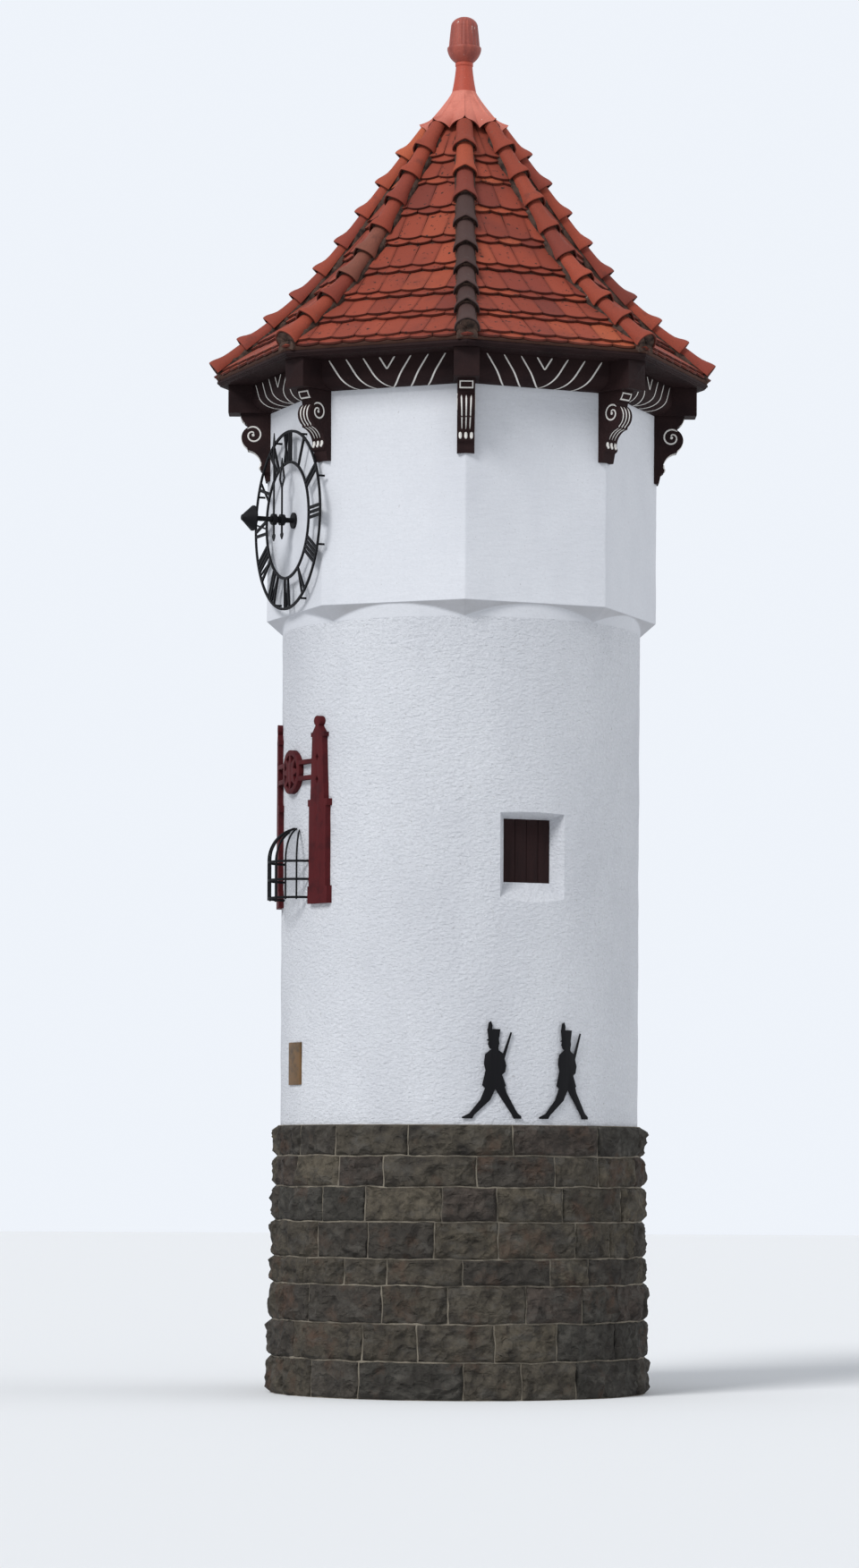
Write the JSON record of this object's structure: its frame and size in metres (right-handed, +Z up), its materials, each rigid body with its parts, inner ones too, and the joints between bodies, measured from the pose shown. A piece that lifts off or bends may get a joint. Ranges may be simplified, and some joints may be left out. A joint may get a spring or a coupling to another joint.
{
  "type": "clock tower",
  "caption": "Round rendered clock tower on a stone base, with an eight-sided upper storey, carved eaves brackets, a bell-cast tiled roof and an open iron dial.",
  "frame": {"origin": "centre of the foot of the tower on the ground", "axes": "+Z up along the axis of the tower; -Y towards the front corner of the upper storey, which faces the picture; +X to the right of it"},
  "size_m": [3.8936, 3.8936, 10.5297],
  "materials": {
    "sandstone": "rock-faced coursed sandstone with lime joints",
    "render": "white painted lime render on masonry",
    "shutter_wood": "dark red-brown stained boards",
    "eaves_wood": "very dark red-brown painted timber",
    "roof_tile": "weathered orange-red clay tiles",
    "hip_tile": "weathered clay hip tiles, some dark with lichen",
    "mortar": "lime mortar",
    "finial_clay": "smooth fired clay",
    "black_iron": "black painted iron, satin",
    "hand_metal": "black painted sheet metal, satin",
    "relief_red": "dark red paint, matt",
    "plaque_metal": "dark patinated bronze, bare"
  },
  "bodies": {
    "tower": {"base_wall_front_right": "sandstone", "base_wall_back_right": "sandstone", "base_wall_back_left": "sandstone", "base_wall_front_left": "sandstone", "shaft_wall_front_right": "render", "shaft_wall_back_right": "render", "shaft_wall_back_left": "render", "shaft_wall_front_left": "render", "drum_wall_front_right": "render", "drum_wall_right_front": "render", "drum_wall_right_back": "render", "drum_wall_back_right": "render", "drum_wall_back_left": "render", "drum_wall_left_back": "render", "drum_wall_left_front": "render", "drum_wall_front_left": "render", "window_shutter": "shutter_wood", "eaves_beams": "eaves_wood", "eaves_brackets": "eaves_wood", "cove_boards": "eaves_wood", "eaves_boards": "eaves_wood", "roof_front_right": "roof_tile", "roof_right_front": "roof_tile", "roof_right_back": "roof_tile", "roof_back_right": "roof_tile", "roof_back_left": "roof_tile", "roof_left_back": "roof_tile", "roof_left_front": "roof_tile", "roof_front_left": "roof_tile", "hip_tiles": "hip_tile", "finial_bed": "mortar", "finial_skirt": "finial_clay", "finial_neck": "finial_clay", "finial_cup": "finial_clay", "finial_acorn": "finial_clay", "clock_dial": "black_iron", "dial_standoffs": "black_iron", "centre_post": "black_iron", "post_shade": "black_iron", "pillar_relief": "relief_red", "basket_grille": "black_iron", "guard_figures": "black_iron", "blank_plaque": "plaque_metal"},
    "hour_hand": {"hour_hand": "hand_metal"},
    "minute_hand": {"minute_hand": "hand_metal"}
  },
  "joints": [
    {"name": "minute_turn", "type": "hinge", "parent": "tower", "child": "minute_hand", "pos_m": [-1.42555, -0.59048, 6.59], "axis": [0.9239, 0.3827, 0], "continuous": true},
    {"name": "hour_turn", "type": "hinge", "parent": "tower", "child": "hour_hand", "pos_m": [-1.36549, -0.56561, 6.59], "axis": [0.9239, 0.3827, 0], "continuous": true}
  ],
  "couplings": [
    {"joint": "hour_turn", "follows": "minute_turn", "ratio": 0.083333}
  ]
}
